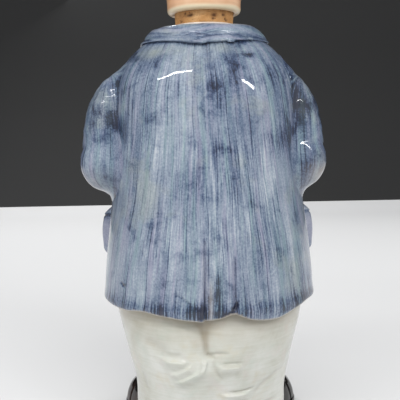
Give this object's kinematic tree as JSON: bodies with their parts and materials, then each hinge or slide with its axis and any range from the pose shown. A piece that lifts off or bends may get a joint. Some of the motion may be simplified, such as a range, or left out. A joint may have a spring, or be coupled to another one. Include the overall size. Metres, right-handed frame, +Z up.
{
  "type": "figural liquor decanter",
  "caption": "Hollow ceramic bottle shaped as a standing stout man in a blue jacket; his head lifts off as a corked stopper and turns in the mouth.",
  "frame": {"origin": "on the standing plane, under the middle of the whole figure's bounding box", "axes": "+Z up, the figure's long way; the figure faces -Y, so its back, which the picture shows, is towards +Y; its left hand is on +X"},
  "size_m": [0.12, 0.0945, 0.2861],
  "materials": {
    "blue_glaze": "glossy hand-brushed blue glaze, streaky",
    "ivory_glaze": "glossy ivory glaze",
    "white_glaze": "glossy cream white glaze",
    "navy_glaze": "glossy dark blue glaze",
    "black_glaze": "glossy black glaze",
    "flesh_glaze": "glossy painted flesh",
    "hair_glaze": "glossy painted auburn",
    "cork": "natural cork, matt"
  },
  "bodies": {
    "decanter": {"jacket": "blue_glaze", "trousers": "ivory_glaze", "neck_tube": "white_glaze", "collar": "blue_glaze", "shirt": "white_glaze", "buttons": "navy_glaze", "left_sleeve": "blue_glaze", "right_sleeve": "blue_glaze", "left_hand": "flesh_glaze", "right_hand": "flesh_glaze", "left_pocket": "blue_glaze", "right_pocket": "blue_glaze", "left_lapel": "blue_glaze", "right_lapel": "blue_glaze", "left_shoe": "black_glaze", "right_shoe": "black_glaze"},
    "cork": {"cork": "cork"},
    "head": {"head": "flesh_glaze", "hair": "hair_glaze"}
  },
  "joints": [
    {"name": "stopper_lift", "type": "slide", "parent": "decanter", "child": "cork", "axis": [0, 0, 1], "range_m": [0, 0.06]},
    {"name": "stopper_turn", "type": "hinge", "parent": "cork", "child": "head", "pos_m": [0, 0.00242, 0.2085], "axis": [0, 0, 1], "continuous": true}
  ]
}
